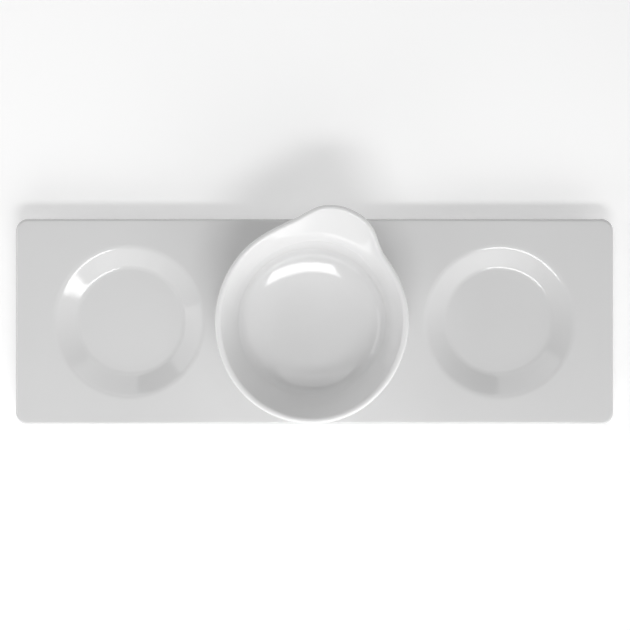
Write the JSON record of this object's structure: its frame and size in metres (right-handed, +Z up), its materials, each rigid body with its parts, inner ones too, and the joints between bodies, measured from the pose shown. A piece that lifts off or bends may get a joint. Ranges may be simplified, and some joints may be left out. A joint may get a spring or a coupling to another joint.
{
  "type": "chip and dip server",
  "caption": "Oblong white glazed porcelain tray with shallow round wells, carrying a loose round dip bowl with a flared off-centre thumb ear.",
  "frame": {"origin": "centre of the tray's foot rim, on the table plane", "axes": "+X along the tray's length, +Y towards the side where the bowl's ear points, +Z up"},
  "size_m": [0.42, 0.1547, 0.0691],
  "materials": {
    "tray_glaze": "glossy white glaze, bare foot rim",
    "bowl_glaze": "glossy white glaze, bare foot ring"
  },
  "bodies": {
    "tray": {"tray": "tray_glaze"},
    "bowl": {"bowl": "bowl_glaze"}
  },
  "joints": [
    {"name": "bowl_lift", "type": "slide", "parent": "tray", "child": "bowl", "axis": [0, 0, 1], "range_m": [0, 0.12]}
  ]
}
